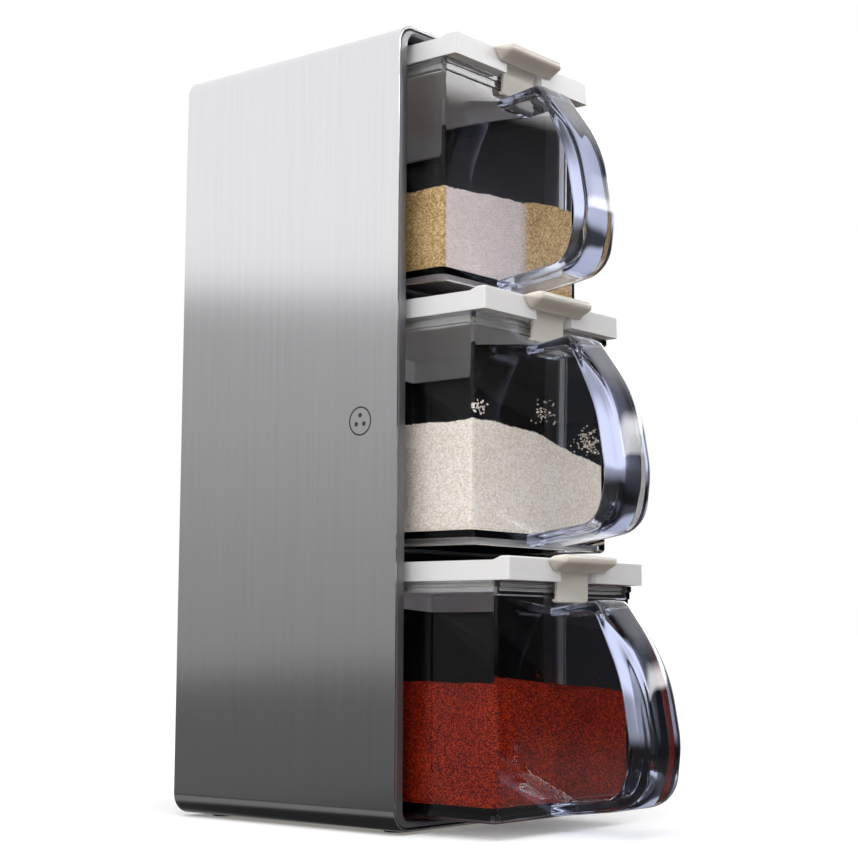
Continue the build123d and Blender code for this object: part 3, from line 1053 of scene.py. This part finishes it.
    def build(self) -> bpy.types.Object:
        """Builds the heap with its loose and stuck grains as one piece."""
        rng = np.random.default_rng(self.seed)
        skin = self.bed(rng)
        self.scatter(skin, rng)
        piece = skin.build(f"{self.box.name}_heap", 25.0)
        piece.data.materials.append(self.material)
        return stand_in(piece, self.box.body, self.slot, f"{self.box.name}_seasoning")


# ---------------------------------------------------------------- studio
@dataclass
class Studio:
    """Camera, floor, soft lights and surroundings."""

    camera_place: tuple[float, float, float] = (-0.5542, -0.4835, 0.0709)
    yaw: float = 50.622455
    pitch: float = 6.594014
    roll: float = -0.295482
    lens: float = 75.76
    aim: tuple[float, float, float] = (0.0, -0.03, 0.15)
    light_size: float = 0.9
    white: Colour = (1.0, 1.0, 1.0)
    mirror_tint: Colour = (0.985, 0.985, 1.0)
    handle_tint: Colour = (0.80, 0.83, 1.0)
    deep_tint: Colour = (0.8, 0.85, 1.0)
    under_colour: Colour = (1.0, 0.80, 0.58)
    top_light: float = 0.66
    front_light: float = 0.58
    under_light: float = 0.17
    inside_gain: float = 3.6
    near_walls: float = 3.5

    def camera(self) -> None:
        """Places the camera."""
        data = bpy.data.cameras.new("camera")
        data.lens = self.lens
        data.sensor_width = 36.0
        data.clip_start = 0.01
        camera = bpy.data.objects.new("camera", data)
        bpy.context.scene.collection.objects.link(camera)
        turn = (
            Matrix.Rotation(math.radians(-self.yaw), 4, "Z")
            @ Matrix.Rotation(math.radians(90.0 + self.pitch), 4, "X")
            @ Matrix.Rotation(math.radians(-self.roll), 4, "Z")
        )
        camera.matrix_world = Matrix.Translation(self.camera_place) @ turn
        bpy.context.scene.camera = camera

    def floor(self) -> None:
        """Lays a pale floor that clear and shiny pieces don't pick up."""
        skin = Skin()
        points = corner_points(3.0, -3.0, 3.0, 0.5, 4)
        skin.loft([[(x, y, -0.02) for x, y in points], [(x, y, 0.0) for x, y in points]])
        floor = skin.build("floor")
        shader = Shader("floor_paint")
        shader.set(Roughness=0.9, Specular_IOR_Level=0.1)
        shader.set(Emission_Color=(*self.white, 1.0), Emission_Strength=0.16)
        stops = [(0.0, (0.90, 0.90, 0.905)), (1.0, (0.93, 0.93, 0.935))]
        shader.set(Base_Color=shader.ramp(shader.noise(3.0, 2.0), stops))
        floor.data.materials.append(shader.material)
        floor.visible_glossy = False
        floor.visible_transmission = False
        floor.visible_diffuse = False

    def softbox(self, name: str, place: tuple[float, float, float], power: float) -> None:
        """Adds one square soft light, aimed at the rack, that nothing mirrors.

        Args:
            name: The light's name.
            place: Its centre.
            power: Watts.
        """
        data = bpy.data.lights.new(name, "AREA")
        data.shape = "SQUARE"
        data.size = self.light_size
        data.energy = power
        light = bpy.data.objects.new(name, data)
        light.location = place
        light.rotation_euler = (Vector(self.aim) - Vector(place)).to_track_quat("-Z", "Y").to_euler()
        light.visible_camera = False
        light.visible_glossy = False
        light.visible_transmission = False
        bpy.context.scene.collection.objects.link(light)

    def mirrored(self, sky: Sky) -> bpy.types.NodeSocket:
        """What shiny pieces mirror: grey walls, a bright ceiling and one big softbox.

        The walls and the ceiling stand on the left and behind, the softbox hangs ahead and
        to the right, higher up, and the ground shows only from above.
        """
        z = sky.z
        walls = sky.total(
            sky.times(sky.step(z, -0.150, -0.140), 0.12),
            sky.times(sky.step(z, -0.054, -0.046), 0.22),
            sky.times(sky.step(z, -0.04, 0.18), 0.15),
        )
        ceiling = sky.times(sky.step(z, 0.192, 0.217), 0.72)
        left = sky.step(sky.against(sky.x), -0.15, 0.15)
        room = sky.math("MAXIMUM", left, sky.step(sky.y, -0.35, 0.0))
        ground = sky.times(sky.band(sky.against(z), (0.14, 0.24), (0.4, 0.6)), 0.2)
        lamp = sky.times(sky.step(sky.x, 0.1, 0.5), sky.band(z, (0.25, 0.30), (0.34, 0.44)))
        shine = sky.times(sky.total(walls, ceiling), room)
        shine = sky.total(shine, sky.times(lamp, 7.5), ground, 0.025)
        return sky.layer(shine, self.mirror_tint)

    def bent(self, sky: Sky) -> bpy.types.NodeSocket:
        """What shows through clear pieces: a lavender glow through the handles, which bend a
        ray only a few times, and near black through the boxes."""
        z = sky.z
        glow = sky.times(sky.band(z, (0.13, 0.25), (0.36, 0.6)), 0.8)
        low = sky.times(sky.step(z, -0.10, 0.15), 0.07)
        ahead = sky.times(sky.step(sky.against(sky.y), 0.1, 0.4), sky.step(z, -0.1, 0.2))
        glow = sky.total(glow, low, sky.times(ahead, 0.5), 0.01)
        deep = sky.total(0.012, sky.times(sky.step(z, 0.35, 0.6), 0.25))
        near = sky.math("LESS_THAN", sky.path["Transmission Depth"], self.near_walls)
        return sky.choose(near, sky.layer(deep, self.deep_tint), sky.layer(glow, self.handle_tint))

    def ambient(self, sky: Sky) -> bpy.types.NodeSocket:
        """The soft light on everything dull, stronger from above and the left, warm from
        below, and raised for what stands behind clear walls."""
        above = sky.times(sky.step(sky.z, -0.35, 0.75), self.top_light)
        facing = sky.total(sky.times(sky.x, -0.97), sky.times(sky.y, -0.25))
        ahead = sky.times(sky.step(facing, -0.4, 1.0), self.front_light)
        gain = sky.total(sky.times(sky.path["Is Transmission Ray"], self.inside_gain - 1.0), 1.0)
        strength = sky.times(sky.total(above, ahead, self.under_light), gain)
        below = sky.layer(self.under_light, self.under_colour)
        return sky.choose(sky.step(sky.z, -0.45, 0.12), below, sky.layer(strength, self.white))

    def surroundings(self) -> None:
        """Builds the world, which is white to the camera and a studio to everything else."""
        sky = Sky()
        studio = sky.choose(sky.path["Is Transmission Ray"], self.mirrored(sky), self.bent(sky))
        scattered = sky.math("MAXIMUM", sky.path["Is Diffuse Ray"], sky.path["Diffuse Depth"])
        soft = sky.choose(sky.math("MINIMUM", scattered, 1.0), studio, self.ambient(sky))
        whole = sky.choose(sky.path["Is Camera Ray"], soft, sky.layer(1.0, self.white))
        sky.node("ShaderNodeOutputWorld", {0: whole})

    def build(self) -> None:
        """Builds the studio."""
        self.camera()
        self.floor()
        self.surroundings()
        self.softbox("key", (-1.3, -0.7, 1.1), 7.0)
        self.softbox("top", (-0.2, -0.4, 1.4), 3.5)
        scene = bpy.context.scene
        scene.view_settings.view_transform = "Standard"
        scene.cycles.max_bounces = 24
        scene.cycles.transmission_bounces = 20
        scene.cycles.glossy_bounces = 12
        scene.cycles.transparent_max_bounces = 16
        LOG.info("studio ready")


# ---------------------------------------------------------------- everything
def build_rack() -> None:
    """Builds the rack in its finishes."""
    Rack(
        steel=BrushedSteel().make(),
        rim=Moulded("rim_grey", (0.235, 0.232, 0.245), 0.38, metallic=0.8).make(),
        black=Moulded("black_plastic", (0.012, 0.012, 0.013), 0.42, texture_scale=1400.0).make(),
        bright=Moulded("screw_steel", (0.55, 0.55, 0.57), 0.25, metallic=1.0).make(),
        rubber=Moulded("foot_rubber", (0.03, 0.03, 0.03), 0.8, mottling=0.2).make(),
    ).build()


def build_boxes() -> dict[Tier, Box]:
    """Builds the three boxes without their contents.

    Returns:
        Each box by its tier.
    """
    finishes = BoxFinishes(
        clear=ClearPlastic().make(),
        # The handle's plastic is a darker, bluer copy of the clear plastic: partly the thick handle's own
        # blue tint, partly painted navy shade standing in for the dark studio seen in it.
        grip_with_painted_shade=ClearPlastic("clear_grip_with_painted_shade", (0.66, 0.69, 0.79)).make(),
        white=Moulded("white_plastic", (0.90, 0.90, 0.915), 0.3, mottling=0.012, glow=0.1).make(),
        latch=Moulded("latch_plastic", (0.84, 0.80, 0.73), 0.3, mottling=0.02, glow=0.1).make(),
        silicone=Moulded("silicone", (0.42, 0.41, 0.37), 0.5).make(),
        pin=Moulded("pin_steel", (0.6, 0.6, 0.62), 0.2, metallic=1.0).make(),
    )
    boxes = {tier: Box(tier, finishes) for tier in Tier}
    for box in boxes.values():
        box.build()
    return boxes


def fill(boxes: dict[Tier, Box]) -> None:
    """Heaps a seasoning into each box."""
    golden = Seasoning(
        name="golden_granules",
        shades=((0.35, 0.20, 0.06), (0.62, 0.40, 0.16), (0.86, 0.62, 0.32)),
        grain=0.0006,
        patch=(-0.0404, 0.006),
    )
    crystals = Seasoning(
        name="white_crystals",
        shades=((0.79, 0.66, 0.52), (0.93, 0.82, 0.68), (1.0, 0.94, 0.84)),
        grain=0.0007,
        roughness=0.35,
        glow=0.15,
    )
    chili = Seasoning(
        name="chili_powder",
        shades=((0.06, 0.0015, 0.0004), (0.17, 0.0055, 0.0008), (0.42, 0.034, 0.003)),
        grain=0.00045,
        roughness=0.9,
    )
    Heap(
        boxes[Tier.TOP], golden.make(), golden.name, size=0.55 * MM,
        crest=((-41.0, 35.6), (-22.0, 37.3), (3.0, 38.3), (20.0, 40.4), (41.0, 41.8)),
        roughness=0.5 * MM, stuck=(), seed=3,
    ).build()  # fmt: skip
    Heap(
        boxes[Tier.MIDDLE], crystals.make(), crystals.name, size=0.7 * MM,
        crest=((-41.0, 45.4), (-20.0, 44.9), (-4.0, 44.2), (11.0, 40.5), (38.0, 34.7), (41.0, 34.4)),
        roughness=0.5 * MM,
        stuck=((-38.0, 50.5, 2.6, 45), (3.0, 53.0, 4.0, 45), (33.0, 43.5, 4.5, 130)), seed=7,
    ).build()  # fmt: skip
    Heap(
        boxes[Tier.BOTTOM], chili.make(), chili.name, size=0.4 * MM,
        crest=((-41.0, 48.9), (-18.0, 49.0), (-6.0, 46.4), (20.0, 45.6), (41.0, 44.9)),
        roughness=0.45 * MM, stuck=((-10.0, 49.5, 5.0, 40), (20.0, 48.0, 6.0, 40)), seed=11,
    ).build()  # fmt: skip


def main() -> None:
    """Builds the studio, the rack, the three boxes and their contents."""
    logging.basicConfig(level=logging.INFO, format="%(name)s %(message)s")
    Studio().build()
    build_rack()
    fill(build_boxes())


if __name__ == "__main__":
    main()
